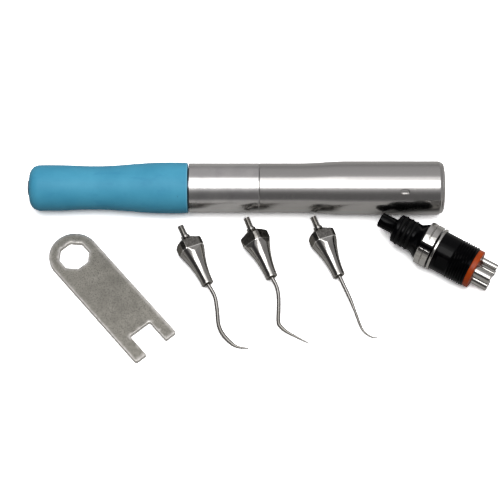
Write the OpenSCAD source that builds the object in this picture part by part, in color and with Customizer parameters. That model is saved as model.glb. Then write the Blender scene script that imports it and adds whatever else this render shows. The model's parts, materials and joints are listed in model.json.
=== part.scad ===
// Air-driven dental scaler kit, laid out on a table: the handpiece with its grip sleeve,
// three loose scaler tips, a flat tip wrench and a four-hole swivel coupler.
// The handpiece lies along X with its nose at -X, and +Z is up from the table.
// Every turned piece is drawn along its own +Z axis and then laid down.

/* [Handpiece] */
// Length of the handpiece, nose to rear face
handpiece_len = 119.5; // [112:0.5:128]
// Radius of the front barrel
front_r = 7.1; // [6.9:0.05:7.3]
// Radius of the rear barrel
rear_r = 7.7; // [7.5:0.05:7.9]
// Length of barrel that shows between the grip and the seam
front_show = 20.2; // [19:0.1:22]

/* [Grip sleeve] */
// Length of the grip sleeve
grip_len = 45.7; // [44.5:0.1:46]
// Radius of the bulge at the nose
grip_nose_r = 6.65; // [6.5:0.05:6.9]
// Radius of the waist
grip_waist_r = 6.3; // [6.2:0.05:6.5]
// Radius of the swell behind the fingers
grip_swell_r = 7.4; // [7:0.05:7.6]

/* [Scaler tips] */
// Length of the tapered tip body
tip_body_len = 15.3; // [14:0.1:17]
// Radius of the tip body's shoulder
tip_shoulder_r = 4.1; // [3.9:0.05:4.3]
// Radius of the tip body's small end
tip_neck_r = 1.75; // [1.6:0.05:1.9]
// Radius of the threaded stud
stud_r = 1.0; // [0.9:0.05:1.05]
// Length of the stud and its collar
stud_len = 4.25; // [4:0.05:4.6]

/* [Tip wrench] */
// Radius of the round head, which is half the wrench's width
wrench_r = 7.2; // [6.8:0.1:8]
// Centre of the head to the fork's end
wrench_reach = 37.6; // [34:0.1:42]
// Plate thickness
wrench_t = 1.5; // [1.2:0.1:2]
// Octagon hole across its flats
octagon_w = 8.3; // [8.3:0.1:9]
// Width of the fork's slot
slot_w = 7.0; // [6.5:0.1:7.5]
// Depth of the fork's slot
slot_depth = 7.4; // [6:0.1:9]

/* [Swivel coupler] */
// Radius of the coupler's nose, which enters the handpiece
nose_r = 4.2; // [4.1:0.05:4.3]
// Radius of the chrome rings
ring_r = 6.4; // [6.3:0.05:6.6]
// Radius of the hose thread's crests
thread_r = 6.0; // [5.9:0.05:6.1]
// Pitch of the hose thread
thread_pitch = 0.75; // [0.7:0.05:0.9]

/* [Layout] */
// Nose of the handpiece along X
handpiece_x = -66.9; // [-72:0.1:-62]
// Axis of the handpiece along Y
handpiece_y = 22.1; // [20:0.1:26]
// Yaw of the wrench, head to fork
wrench_yaw = -49.9; // [-60:0.1:-45]
// Yaw of the coupler, nose to tail
coupler_yaw = -30.5; // [-33:0.1:-29]

/* [Hidden] */

ROUND = 96;     // facets of a round piece in the quick mesh; the solid itself is a true circle
EASE_STEPS = 6; // straight steps in each eased stretch of a profile
CUT = 0.5;      // how far a cutting solid runs past the face it opens

// Stations along the handpiece, from the nose, and radii inside it.
grip_start = 0.5;
grip_end = grip_start + grip_len;
seam = grip_end + 0.1 + front_show;
sleeve_r = 5.2;            // housing under the grip
sleeve_fit = 0.1;          // radial gap between the housing and the grip
housing_nose = 1.6;
front_bore_r = 4.2;
stub_r = 6.2;              // threaded stub that joins the two housings
stub_end = seam + 8.5;
barrel_edge = 0.15;        // small chamfers at the barrel's edges
taper_start = seam + 11.5;
taper_end = seam + 25.5;
liner_r = 6.4;
liner_start = handpiece_len - 20;
liner_end = handpiece_len - 1.4;
spigot_seat = liner_start + 4;   // floor of the narrow bore that takes the coupler's spigot
lip_r = 6.0;
socket_r = nose_r + 0.2;
spigot_r = 2.2;
manifold_start = 47;
manifold_end = 64;
manifold_ring_at = 55.5;
tube_r = 0.45;
tube_start = 39;
seal_wire = 0.5;           // half the thickness of the two housing seals
ring_seat_r = 2.75;        // seats that hold the shaft's rubber rings
cavity_r = 3.5;            // room around the shaft behind those seats
nut_end = 9.6;
bush_start = 36;
bush_end = 41;
seat_wall = 1.4;           // depth of the seat in the rear bush
feed_r = 3.6;
feed_bore_r = 3.1;
air_port_r = 1.6;
muffler_bore_r = 4.4;
muffler_gap = 4;

// Oscillating shaft and the rotor that spins on it.
shaft_r = 2.3;
shaft_len = 44;
tip_socket_r = 1.05;
tip_socket_len = 5.2;
shaft_bore_r = 0.9;
groove_r = 1.95;
ring_wire = 0.7;           // half the thickness of the shaft's rubber rings
front_ring_at = 7.4;
rear_ring_at = 38;
rotor_start = 18;
rotor_end = 30;
rotor_r = 3.5;
running_gap = 0.08;
stop_r = 3.2;
stop_len = 1.8;
stop_gap = 0.3;

// Tips: stations from the stud's end.
tip_end = stud_len + tip_body_len;
collar_len = 0.75;
collar_r = 1.3;
rim_at = stud_len + 1.75;
band_end = rim_at + 2;
flat_gap = 3.4;            // axis to each of the four flats that the wrench grips
shank_r = 0.56;
hook_end_r = 0.12;
hook_rest = 0.22;          // height of a hook's end, which keeps its thicker part off the table
RINGS_PER_SPAN = 4;        // swept rings between two control points of a hook
HOOK_SIDES = 10;

// Each tip's place on the table as [x, y, yaw] of its body's start.
tip_1_place = [-21.3, 7.5, -65.4];
tip_2_place = [-2.5, 9.8, -68.0];
tip_3_place = [16.7, 10.4, -68.2];
// Turn of each tip's flats about its axis, from the side that faces down.
tip_1_turn = 79.5;
tip_2_turn = 44;
tip_3_turn = 82;
// Hooks: control points as [distance past the small end, sideways distance].
hook_broad = [[-1, 0], [0, 0], [4, 0.3], [8, -0.7], [12, -2.1], [15, -2.3],
  [18, -1.5], [20.4, -0.1], [22.1, 2.6]];
hook_sickle = [[-1, 0], [0, 0], [3, 0.2], [6, -0.4], [9.5, -1.8], [13, -3.3], [14.6, -3.2],
  [17, -1.9], [22, 2.3]];
hook_slim = [[-1, 0], [0, 0], [4, 0.15], [8, 0.2], [12.5, 0], [16, -0.2], [18, 0.1],
  [20, 1.3], [21, 3]];

// Centre of the wrench's head, and the coupler's nose over the table.
wrench_place = [-53.4, 3.35, 0];
coupler_place = [34.3, 12.1];

// Coupler: stations from the nose's end.
step_start = 4.3;
step_end = 5.5;
flare_start = 11.2;
flare_end = 13.9;
flare_r = 5.4;
split_end = 17.6;
tail_start = 18.1;
band_tail_end = 18.8;
thread_start = 23.7;
tail_end = 29.3;
gasket_end = 30.9;
tubes_end = 35.8;
stub_fit_r = 4.0;
stub_tip = 26;
clip_at = 24.7;
tail_body_r = 5.8;
nose_bore_r = 0.8;
swivel_gap = 0.06;
hollow_r = 5.0;
pipe_r = 1.0;
hose_tube_r = 1.6;
seat_step = 0.2;           // each tube is this much slimmer where it is seated in the tail
// Four-hole pattern: the wide tubes sit on one side, the narrow pipes on the other.
wide_x = 2.3;
wide_y = -1.6;
narrow_x = 1.9;
narrow_y = 2.6;
hose_holes = [
  [wide_x, wide_y, hose_tube_r],
  [-wide_x, wide_y, hose_tube_r],
  [narrow_x, narrow_y, pipe_r],
  [-narrow_x, narrow_y, pipe_r]
]; // each as [x, y, radius]
nose_ring_wire = 0.45;
nose_ring_first = 6.9;
nose_ring_gap = 1.6;
nose_groove_depth = 0.7;

// Lowest radius of a tip's head: an edge of a flat if one faces the table, else the round rim.
function tip_drop(turn) =
  let (aside = min(turn, 90 - turn), edge = acos(flat_gap / tip_shoulder_r))
  tip_shoulder_r * cos(max(edge - aside, 0));
// Lean of a tip that lies on its head and its hook.
function tip_lean(points, drop) =
  let (reach = tip_end + points[len(points) - 1][0] - band_end)
  acos(hook_rest / norm([drop, reach])) - atan2(reach, drop);
// Lean of the coupler, which rests on its chrome ring and on the hose thread.
coupler_lean = asin((ring_r - thread_r) / (tail_end - band_tail_end));
coupler_nose_z = ring_r * cos(coupler_lean) + band_tail_end * sin(coupler_lean);

// ---------- helpers ----------

// Eased value between a and b as t goes from 0 to 1.
function ease(a, b, t) = a + (b - a) * (1 - cos(180 * t)) / 2;

// Points of an eased stretch of profile, without its last point.
function eased(r0, s0, r1, s1) =
  [for (i = [0 : EASE_STEPS - 1]) let (t = i / EASE_STEPS) [ease(r0, r1, t), s0 + (s1 - s0) * t]];

// Points of an arc of a profile about [r, s], from angle a0 to a1 (0 points outward, 90 to the rear).
function arc(r, s, radius, a0, a1, steps) =
  [for (i = [0 : steps]) let (a = a0 + (a1 - a0) * i / steps) [r + radius * cos(a), s + radius * sin(a)]];

// Solid of revolution about +Z from [radius, station] points.
module turned(points) {
  rotate_extrude($fn = ROUND) polygon(points);
}

// Tube between two stations.
module tube(outer, inner, from, to) {
  turned([[inner, from], [outer, from], [outer, to], [inner, to]]);
}

// Rubber ring of round section whose inside touches radius inner at a station.
module rubber_ring(inner, wire, at) {
  translate([0, 0, at]) rotate_extrude($fn = ROUND) translate([inner + wire, 0]) circle(wire, $fn = 24);
}

// Round hole along the local axis.
module drill(r, from, to) {
  translate([0, 0, from]) cylinder(r = r, h = to - from, $fn = ROUND);
}

// Lays a piece drawn along +Z into the handpiece, whose nose points to -X.
module in_handpiece() {
  translate([handpiece_x, handpiece_y, rear_r]) rotate([0, 90, 0]) children();
}

// ---------- handpiece ----------

module front_housing() {
  color([0.72, 0.71, 0.70]) in_handpiece() turned([
    [front_bore_r, housing_nose],
    [sleeve_r - 0.8, housing_nose],
    [sleeve_r, housing_nose + 2],
    [sleeve_r, grip_end + 0.1],
    [front_r - barrel_edge, grip_end + 0.1],
    [front_r, grip_end + 0.1 + barrel_edge],
    [front_r, seam - barrel_edge],
    [front_r - barrel_edge, seam],
    [stub_r, seam],
    [stub_r, stub_end - 2],
    [stub_r - 2 * seal_wire, stub_end - 2],
    [stub_r - 2 * seal_wire, stub_end - 1],
    [stub_r, stub_end - 1],
    [stub_r, stub_end],
    [front_bore_r, stub_end]
  ]);
}

module rear_housing() {
  slot_at = handpiece_len - 11.5;
  slot_len = 2.6;
  slot_r = 0.65;
  slot_turn = 38;
  slot_depth_in = 0.7;
  color([0.70, 0.69, 0.69]) in_handpiece() difference() {
    turned(concat(
      [[stub_r, seam], [front_r - barrel_edge, seam], [front_r, seam + barrel_edge]],
      eased(front_r, taper_start, rear_r, taper_end),
      [[rear_r, taper_end], [rear_r, handpiece_len - 1.6]],
      eased(rear_r, handpiece_len - 1.5, rear_r - 0.35, handpiece_len - 0.5),
      [
        [rear_r - 0.35, handpiece_len - 0.5],
        [rear_r - 0.85, handpiece_len],
        [lip_r, handpiece_len],
        [lip_r, liner_end],
        [liner_r, liner_end],
        [liner_r, stub_end + 1],
        [stub_r, stub_end + 1]
      ]
    ));
    // the small blind slot for the release pin, on the upper front of the barrel
    rotate([0, 0, slot_turn]) translate([-rear_r - CUT, 0, slot_at]) rotate([0, 90, 0])
      linear_extrude(height = CUT + slot_depth_in) {
        square([slot_len - 2 * slot_r, 2 * slot_r], center = true);
        for (end = [-1, 1]) translate([end * (slot_len / 2 - slot_r), 0]) circle(slot_r, $fn = 24);
      }
  }
}

module nose_nut() {
  color([0.6, 0.6, 0.6]) in_handpiece() turned([
    [ring_seat_r, housing_nose],
    [front_bore_r, housing_nose],
    [front_bore_r, nut_end],
    [cavity_r, nut_end],
    [cavity_r, front_ring_at - seat_wall],
    [ring_seat_r, front_ring_at - seat_wall]
  ]);
}

module rear_bush() {
  color([0.6, 0.6, 0.6]) in_handpiece() turned([
    [cavity_r, bush_start],
    [front_bore_r, bush_start],
    [front_bore_r, bush_end],
    [ring_seat_r, bush_end],
    [ring_seat_r, bush_end - seat_wall],
    [cavity_r, bush_end - seat_wall]
  ]);
}

module manifold() {
  port_ring = 2.4;
  port_r = 0.6;
  groove_r = front_bore_r - 2 * seal_wire;
  color([0.55, 0.55, 0.57]) in_handpiece() difference() {
    turned([
      [tube_r, manifold_start],
      [front_bore_r, manifold_start],
      [front_bore_r, manifold_ring_at - seal_wire],
      [groove_r, manifold_ring_at - seal_wire],
      [groove_r, manifold_ring_at + seal_wire],
      [front_bore_r, manifold_ring_at + seal_wire],
      [front_bore_r, manifold_end],
      [tube_r, manifold_end]
    ]);
    for (turn = [0 : 90 : 270]) rotate([0, 0, turn]) translate([port_ring, 0, 0])
      drill(port_r, manifold_start - CUT, manifold_end + CUT);
  }
}

module manifold_ring() {
  color([0.15, 0.15, 0.15]) in_handpiece()
    rubber_ring(front_bore_r - 2 * seal_wire, seal_wire, manifold_ring_at);
}

module water_tube() {
  color([0.8, 0.8, 0.82]) in_handpiece() tube(tube_r, tube_r - 0.2, tube_start, manifold_end);
}

module feed_tube() {
  color([0.75, 0.75, 0.77]) in_handpiece() tube(feed_r, feed_bore_r, manifold_end, liner_start);
}

module muffler() {
  color([0.5, 0.48, 0.42]) in_handpiece()
    tube(liner_r, muffler_bore_r, stub_end + muffler_gap, liner_start - muffler_gap);
}

module joint_ring() {
  color([0.1, 0.1, 0.1]) in_handpiece() rubber_ring(stub_r - 2 * seal_wire, seal_wire, stub_end - 1.5);
}

module socket_liner() {
  socket_start = liner_end - 7.4;
  mouth_len = 1.6;
  play = 0.3;
  color([0.62, 0.62, 0.63]) in_handpiece() turned([
    [air_port_r, liner_start],
    [liner_r, liner_start],
    [liner_r, liner_end],
    [flare_r + play, liner_end],
    [socket_r, liner_end - mouth_len],
    [socket_r, socket_start],
    [spigot_r + play, socket_start - 1],
    [spigot_r + play, spigot_seat],
    [air_port_r, spigot_seat]
  ]);
}

// ---------- oscillating shaft ----------

module sonic_shaft() {
  jet_r = 0.35;
  jet_at = (rotor_start + rotor_end) / 2;
  bore_start = tip_socket_len + 4;
  feed_hole_r = 0.4;
  color([0.66, 0.66, 0.68]) in_handpiece() difference() {
    turned([
      [tip_socket_r + 0.3, 0],
      [shaft_r - 0.2, 0],
      [shaft_r, 0.2],
      [shaft_r, front_ring_at - ring_wire],
      [groove_r, front_ring_at - ring_wire],
      [groove_r, front_ring_at + ring_wire],
      [shaft_r, front_ring_at + ring_wire],
      [shaft_r, rear_ring_at - ring_wire],
      [groove_r, rear_ring_at - ring_wire],
      [groove_r, rear_ring_at + ring_wire],
      [shaft_r, rear_ring_at + ring_wire],
      [shaft_r, shaft_len],
      [shaft_bore_r, shaft_len],
      [shaft_bore_r, bore_start],
      [feed_hole_r, bore_start],
      [feed_hole_r, tip_socket_len],
      [tip_socket_r, tip_socket_len],
      [tip_socket_r, 0.3]
    ]);
    // slanted air jets that drive the rotor
    for (turn = [45 : 90 : 315]) rotate([0, 0, turn]) translate([0, 0.5, jet_at])
      rotate([0, 90, 0]) cylinder(r = jet_r, h = shaft_r + CUT, $fn = 24);
  }
}

module shaft_rubber(at) {
  color([0.12, 0.12, 0.12]) in_handpiece() rubber_ring(groove_r, ring_wire, at);
}

module front_ring() {
  shaft_rubber(front_ring_at);
}

module rear_ring() {
  shaft_rubber(rear_ring_at);
}

module front_stop() {
  color([0.7, 0.7, 0.7]) in_handpiece()
    tube(stop_r, shaft_r, rotor_start - stop_gap - stop_len, rotor_start - stop_gap);
}

module rear_stop() {
  color([0.7, 0.7, 0.7]) in_handpiece()
    tube(stop_r, shaft_r, rotor_end + stop_gap, rotor_end + stop_gap + stop_len);
}

module shaft_nut() {
  color([0.7, 0.7, 0.7]) in_handpiece() tube(stop_r + 0.1, shaft_r, shaft_len - 2, shaft_len);
}

module rotor() {
  color([0.78, 0.7, 0.45]) in_handpiece() tube(rotor_r, shaft_r + running_gap, rotor_start, rotor_end);
}

// ---------- grip sleeve ----------

module grip_sleeve() {
  corner_r = 3;
  mouth_r = 3.1;
  bulge_end = 8;
  waist_at = 18.5;
  swell_start = 40.5;
  swell_end = 42;
  bore_r = sleeve_r + sleeve_fit;
  rim_r = grip_swell_r - 0.1;
  color([0.31, 0.60, 0.74]) in_handpiece() turned(concat(
    [[bore_r, grip_end], [bore_r, housing_nose + 1.6], [bore_r - 0.8, grip_start + 0.7]],
    [[mouth_r, grip_start + 0.7], [mouth_r + 0.15, grip_start + 0.15]],
    arc(grip_nose_r - corner_r, grip_start + corner_r, corner_r, -90, 0, 8),
    eased(grip_nose_r, bulge_end, grip_waist_r, waist_at),
    eased(grip_waist_r, waist_at, grip_swell_r, swell_start),
    [
      [grip_swell_r, swell_start],
      [grip_swell_r, swell_end],
      [rim_r, grip_end - 0.3],
      [rim_r - 0.3, grip_end]
    ]
  ));
}

// ---------- scaler tips ----------

// Catmull-Rom point between p1 and p2.
function curve(p0, p1, p2, p3, t) =
  0.5 * (2 * p1 + (p2 - p0) * t + (2 * p0 - 5 * p1 + 4 * p2 - p3) * t * t
    + (3 * p1 - p0 - 3 * p2 + p3) * t * t * t);

// Centre line of a hook, through its control points.
function hook_line(points) = [
  for (i = [0 : len(points) - 2], k = [0 : RINGS_PER_SPAN - 1])
    curve(points[max(i - 1, 0)], points[i], points[i + 1], points[min(i + 2, len(points) - 1)],
      k / RINGS_PER_SPAN),
  points[len(points) - 1]
];

// Radius of a hook at the fraction t of its length: full to the fraction thick, then thinning.
function hook_radius(t, thick, slim_r) =
  t < thick ? shank_r + (slim_r - shank_r) * pow(t / thick, 6)
    : slim_r + (hook_end_r - slim_r) * pow((t - thick) / (1 - thick), 1.8);

// Solid swept along a hook's line, which lies in the YZ plane.
module hook(points, thick, slim_r) {
  line = hook_line(points);
  last = len(line) - 1;
  rings = [
    for (i = [0 : last])
      let (
        ahead = line[min(i + 1, last)],
        back = line[max(i - 1, 0)],
        run = (ahead - back) / norm(ahead - back),
        r = hook_radius(i / last, thick, slim_r)
      )
      for (k = [0 : HOOK_SIDES - 1])
        let (a = 360 * k / HOOK_SIDES)
        [r * sin(a), line[i][1] + r * cos(a) * run[0], line[i][0] - r * cos(a) * run[1]]
  ];
  sides = [
    for (i = [0 : last - 1], k = [0 : HOOK_SIDES - 1])
      let (n = (k + 1) % HOOK_SIDES, a = i * HOOK_SIDES, b = a + HOOK_SIDES)
      [a + k, a + n, b + n, b + k]
  ];
  caps = [
    [for (k = [HOOK_SIDES - 1 : -1 : 0]) k],
    [for (k = [0 : HOOK_SIDES - 1]) last * HOOK_SIDES + k]
  ];
  translate([0, 0, tip_end]) polyhedron(points = rings, faces = concat(sides, caps));
}

// Threaded stud, collar and tapered body of a tip, along +Z, with four flats on its head.
module tip_blank(flat_turn) {
  crest = 0.16;
  root_depth = 0.22;
  pitch = 0.5;
  threads = 6;
  taper_hollow = 2.1;   // above 1 the taper is hollow
  recess_r = 0.9;
  recess_depth = 0.4;
  thread_points = [
    for (i = [0 : threads - 1])
      let (s = 0.35 + i * pitch)
      each [[stud_r, s], [stud_r, s + crest], [stud_r - root_depth, s + pitch / 2 + crest / 2]]
  ];
  difference() {
    turned(concat(
      [[0, 0], [stud_r - 0.25, 0]],
      thread_points,
      [
        [stud_r - root_depth, stud_len - collar_len],
        [collar_r, stud_len - collar_len],
        [collar_r, stud_len],
        [tip_shoulder_r - 0.7, rim_at - 0.4],
        [tip_shoulder_r - 0.2, rim_at - 0.2],
        [tip_shoulder_r, rim_at],
        [tip_shoulder_r, band_end]
      ],
      [
        for (i = [1 : EASE_STEPS])
          let (t = i / EASE_STEPS)
          [
            tip_neck_r + (tip_shoulder_r - tip_neck_r) * pow(1 - t, taper_hollow),
            band_end + (tip_end - band_end) * t
          ]
      ],
      [[recess_r, tip_end], [recess_r, tip_end - recess_depth], [0, tip_end - recess_depth]]
    ));
    rotate([0, 0, flat_turn]) flats();
  }
}

// What is milled off a tip's head: four flats, each with a shallow groove across it.
module flats() {
  flat_len = 5.6;
  groove_depth = 0.12;
  groove_start = band_end + 0.1;
  groove_w = 0.4;
  deep = tip_shoulder_r - flat_gap + CUT;
  wide = 2 * tip_shoulder_r;
  for (turn = [0 : 90 : 270]) rotate([0, 0, turn]) {
    translate([flat_gap, -wide / 2, stud_len + CUT]) cube([deep, wide, flat_len]);
    translate([flat_gap - groove_depth, -wide / 2, groove_start]) cube([deep, wide, groove_w]);
  }
}

// Lays a tip drawn along +Z on the table, with its body's start over the place's [x, y].
module lay_tip(place, lean, drop) {
  heading = [cos(place[2]), sin(place[2]), 0];
  band_z = drop * cos(lean);
  start = [place[0], place[1], band_z + band_end * sin(lean)] - stud_len * cos(lean) * heading;
  translate(start) rotate([0, 90 + lean, place[2]]) children();
}

module tip(place, turn, points, thick, slim_r) {
  drop = tip_drop(turn);
  color([0.62, 0.61, 0.59]) lay_tip(place, tip_lean(points, drop), drop) {
    tip_blank(turn);
    hook(points, thick, slim_r);
  }
}

module tip_1() {
  tip(tip_1_place, tip_1_turn, hook_broad, 0.65, 0.6);
}

module tip_2() {
  tip(tip_2_place, tip_2_turn, hook_sickle, 0.72, 0.55);
}

module tip_3() {
  tip(tip_3_place, tip_3_turn, hook_slim, 0.45, 0.38);
}

// ---------- tip wrench ----------

module wrench() {
  tine_round = 0.7;
  inner_round = 0.5;
  color([0.54, 0.52, 0.49]) translate(wrench_place) rotate([0, 0, wrench_yaw])
    linear_extrude(height = wrench_t) difference() {
      union() {
        circle(wrench_r, $fn = ROUND);
        translate([0, -wrench_r]) square([wrench_reach - tine_round, 2 * wrench_r]);
        translate([0, -wrench_r + tine_round]) square([wrench_reach, 2 * (wrench_r - tine_round)]);
        for (side = [-1, 1])
          translate([wrench_reach - tine_round, side * (wrench_r - tine_round)])
            circle(tine_round, $fn = 24);
      }
      rotate(22.5) circle(octagon_w / 2 / cos(22.5), $fn = 8);
      translate([wrench_reach - slot_depth + inner_round, -slot_w / 2]) square([slot_depth, slot_w]);
      translate([wrench_reach - slot_depth, -slot_w / 2 + inner_round])
        square([slot_depth, slot_w - 2 * inner_round]);
      for (side = [-1, 1])
        translate([wrench_reach - slot_depth + inner_round, side * (slot_w / 2 - inner_round)])
          circle(inner_round, $fn = 24);
    }
}

// ---------- swivel coupler ----------

// Lays a piece drawn along +Z on the coupler's axis, from its nose to its tail.
module on_coupler() {
  translate([coupler_place[0], coupler_place[1], coupler_nose_z])
    rotate([0, 90 + coupler_lean, coupler_yaw]) children();
}

// Outline of one groove for a nose ring.
function nose_groove(index) =
  let (at = nose_ring_first + index * nose_ring_gap, floor_r = nose_r - nose_groove_depth)
  [
    [nose_r, at - nose_ring_wire],
    [floor_r, at - nose_ring_wire],
    [floor_r, at + nose_ring_wire],
    [nose_r, at + nose_ring_wire]
  ];

module coupler_nose() {
  color([0.06, 0.06, 0.07]) on_coupler() turned(concat(
    [[nose_bore_r, 0], [spigot_r - 0.3, 0], [spigot_r, 0.3], [spigot_r, step_start]],
    eased(spigot_r, step_start, nose_r, step_end),
    [[nose_r, step_end]],
    nose_groove(0),
    nose_groove(1),
    nose_groove(2),
    eased(nose_r, flare_start, flare_r, flare_end),
    [
      [flare_r, flare_end],
      [flare_r, split_end],
      [stub_fit_r, split_end],
      [stub_fit_r, clip_at],
      [stub_fit_r - 0.5, clip_at],
      [stub_fit_r - 0.5, clip_at + 0.6],
      [stub_fit_r, clip_at + 0.6],
      [stub_fit_r, stub_tip],
      [nose_bore_r, stub_tip]
    ]
  ));
}

module nose_ring(index) {
  color([0.1, 0.1, 0.1]) on_coupler()
    rubber_ring(nose_r - nose_groove_depth, nose_ring_wire, nose_ring_first + index * nose_ring_gap);
}

module nose_ring_1() {
  nose_ring(0);
}

module nose_ring_2() {
  nose_ring(1);
}

module nose_ring_3() {
  nose_ring(2);
}

module split_ring() {
  middle = (flare_end + split_end) / 2;
  gap_w = 1.9;
  gap_turn = 35;
  mark_depth = 0.2;
  mark_half = 0.12;
  color([0.8, 0.79, 0.78]) on_coupler() difference() {
    turned([
      [flare_r, flare_end],
      [ring_r - 0.5, flare_end],
      [ring_r, flare_end + 0.5],
      [ring_r, middle - mark_half],
      [ring_r - mark_depth, middle - mark_half],
      [ring_r - mark_depth, middle + mark_half],
      [ring_r, middle + mark_half],
      [ring_r, split_end],
      [flare_r, split_end]
    ]);
    rotate([0, 0, gap_turn]) translate([-ring_r - CUT, -gap_w / 2, flare_end - CUT])
      cube([ring_r, gap_w, split_end - flare_end + 2 * CUT]);
  }
}

module swivel_clip() {
  color([0.7, 0.7, 0.72]) on_coupler() tube(hollow_r - 0.3, stub_fit_r - 0.5, clip_at + 0.05, clip_at + 0.55);
}

module coupler_tail() {
  crest = 0.2;
  root_depth = 0.35;
  flat_depth = 0.35;
  flat_w = 4;
  flat_len = 3.4;
  turns = floor((tail_end - thread_start) / thread_pitch);
  thread_points = [
    for (i = [0 : turns - 1])
      let (s = thread_start + i * thread_pitch)
      each [
        [thread_r - root_depth, s + 0.15],
        [thread_r, s + thread_pitch / 2],
        [thread_r, s + thread_pitch / 2 + crest]
      ]
  ];
  color([0.07, 0.07, 0.08]) on_coupler() difference() {
    turned(concat(
      [
        [stub_fit_r + swivel_gap, tail_start],
        [tail_body_r - 0.25, tail_start],
        [tail_body_r - 0.25, band_tail_end],
        [tail_body_r, band_tail_end],
        [tail_body_r, thread_start]
      ],
      thread_points,
      [
        [thread_r - root_depth, tail_end - 0.3],
        [thread_r - root_depth, tail_end],
        [0, tail_end],
        [0, stub_tip + 0.5],
        [hollow_r, stub_tip + 0.5],
        [hollow_r, clip_at - 0.4],
        [stub_fit_r + swivel_gap, clip_at - 0.4]
      ]
    ));
    // spanner flats in the plain part of the tail
    for (turn = [60, 240]) rotate([0, 0, turn])
      translate([tail_body_r - flat_depth, -flat_w / 2, band_tail_end + 1.1])
        cube([flat_depth + CUT, flat_w, flat_len]);
    for (hole = hose_holes) translate([hole[0], hole[1], 0])
      drill(hole[2] - seat_step, stub_tip, tail_end + CUT);
  }
}

module tail_band() {
  edge = 0.12;
  color([0.8, 0.79, 0.78]) on_coupler() turned([
    [tail_body_r - 0.25, tail_start],
    [ring_r - edge, tail_start],
    [ring_r, tail_start + edge],
    [ring_r, band_tail_end - edge],
    [ring_r - edge, band_tail_end],
    [tail_body_r - 0.25, band_tail_end]
  ]);
}

module hose_gasket() {
  gasket_r = 5.65;
  edge = 0.2;
  color([0.72, 0.24, 0.08]) on_coupler() difference() {
    turned([
      [0, tail_end], [gasket_r - edge, tail_end], [gasket_r, tail_end + edge],
      [gasket_r, gasket_end - edge], [gasket_r - edge, gasket_end], [0, gasket_end]
    ]);
    for (hole = hose_holes) translate([hole[0], hole[1], 0])
      drill(hole[2] - seat_step, tail_end - CUT, gasket_end + CUT);
  }
}

module hose_tube(index) {
  hole = hose_holes[index];
  seat_r = hole[2] - seat_step;
  bore_r = hole[2] - 0.4;
  edge = 0.1;
  color([0.78, 0.77, 0.77]) on_coupler() translate([hole[0], hole[1], 0]) turned([
    [bore_r, stub_tip + 1],
    [seat_r, stub_tip + 1],
    [seat_r, gasket_end + 0.1],
    [hole[2], gasket_end + 0.1],
    [hole[2], tubes_end - edge],
    [hole[2] - edge, tubes_end],
    [bore_r, tubes_end]
  ]);
}

module exhaust_tube() {
  hose_tube(0);
}

module drive_tube() {
  hose_tube(1);
}

module water_pipe() {
  hose_tube(2);
}

module chip_air_pipe() {
  hose_tube(3);
}

front_housing();
rear_housing();
nose_nut();
rear_bush();
manifold();
manifold_ring();
water_tube();
feed_tube();
muffler();
joint_ring();
socket_liner();
sonic_shaft();
front_ring();
rear_ring();
front_stop();
rear_stop();
shaft_nut();
rotor();
grip_sleeve();
tip_1();
tip_2();
tip_3();
wrench();
coupler_nose();
nose_ring_1();
nose_ring_2();
nose_ring_3();
split_ring();
swivel_clip();
coupler_tail();
tail_band();
hose_gasket();
exhaust_tube();
drive_tube();
water_pipe();
chip_air_pipe();
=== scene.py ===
"""The looks of a dental air scaler kit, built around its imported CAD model.

Each visible piece is a mesh drawn in its own frame, in millimetres, with +Z along its axis, and then
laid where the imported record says. In a turned piece's own frame +X points down to the table.
"""
import json
import math

import bpy
from mathutils import Matrix, Vector, noise
from mathutils.geometry import delaunay_2d_cdt


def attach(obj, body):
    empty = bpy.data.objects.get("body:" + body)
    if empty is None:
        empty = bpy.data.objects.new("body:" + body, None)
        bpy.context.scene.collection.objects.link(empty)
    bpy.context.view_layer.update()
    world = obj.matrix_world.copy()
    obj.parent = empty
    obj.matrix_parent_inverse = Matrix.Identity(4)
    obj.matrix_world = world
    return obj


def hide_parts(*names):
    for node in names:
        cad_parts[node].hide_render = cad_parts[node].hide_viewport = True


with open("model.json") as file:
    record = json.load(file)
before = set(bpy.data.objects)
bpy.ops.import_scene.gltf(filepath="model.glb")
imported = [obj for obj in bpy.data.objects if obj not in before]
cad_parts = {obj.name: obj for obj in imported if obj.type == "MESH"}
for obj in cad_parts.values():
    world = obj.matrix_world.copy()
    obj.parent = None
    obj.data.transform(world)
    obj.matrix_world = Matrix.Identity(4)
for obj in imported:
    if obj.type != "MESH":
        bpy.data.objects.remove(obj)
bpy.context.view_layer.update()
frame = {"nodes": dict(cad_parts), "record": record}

MM = 0.001
POLE = 1e-6  # a profile point nearer the axis than this is on it
WEAR_REACH = 0.3
record = frame["record"]
mounts = {m["name"]: m for m in record["mounts"]}
openings = {o["name"]: o["box_m"] for o in record["physics"]["openings"]}


# ---------- where the pieces lie ----------


def laid(origin, along):
    """Matrix that turns local +Z along a direction and local +X downwards."""
    z = Vector(along).normalized()
    y = Vector((0, 0, 1)).cross(z).normalized()
    x = y.cross(z)
    return Matrix.Translation(origin) @ Matrix((x, y, z)).transposed().to_4x4()


def before_mount(name, station):
    """Placement of a piece from a mount at that station of its axis, which faces the piece's start."""
    along = -Vector(mounts[name]["axis"])
    return laid(Vector(mounts[name]["pos_m"]) - along * station * MM, along)


def wrench_place():
    """The wrench's head is round its octagon hole, and its flat mount lies along its length."""
    low, high = (Vector(corner) for corner in openings["octagon_hole"])
    head = ((low + high) / 2).to_2d()
    heading = Vector(mounts["wrench_underside"]["pos_m"]).to_2d() - head
    turn = Matrix.Rotation(math.atan2(heading.y, heading.x), 4, "Z")
    return Matrix.Translation(head.to_3d()) @ turn


# Stations of three mounts on the axes of their pieces.
TIP_SOCKET_AT = 2.75
NOSE_FIT_AT = 8.35
TIP_STUD_AT = 1.68

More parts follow.
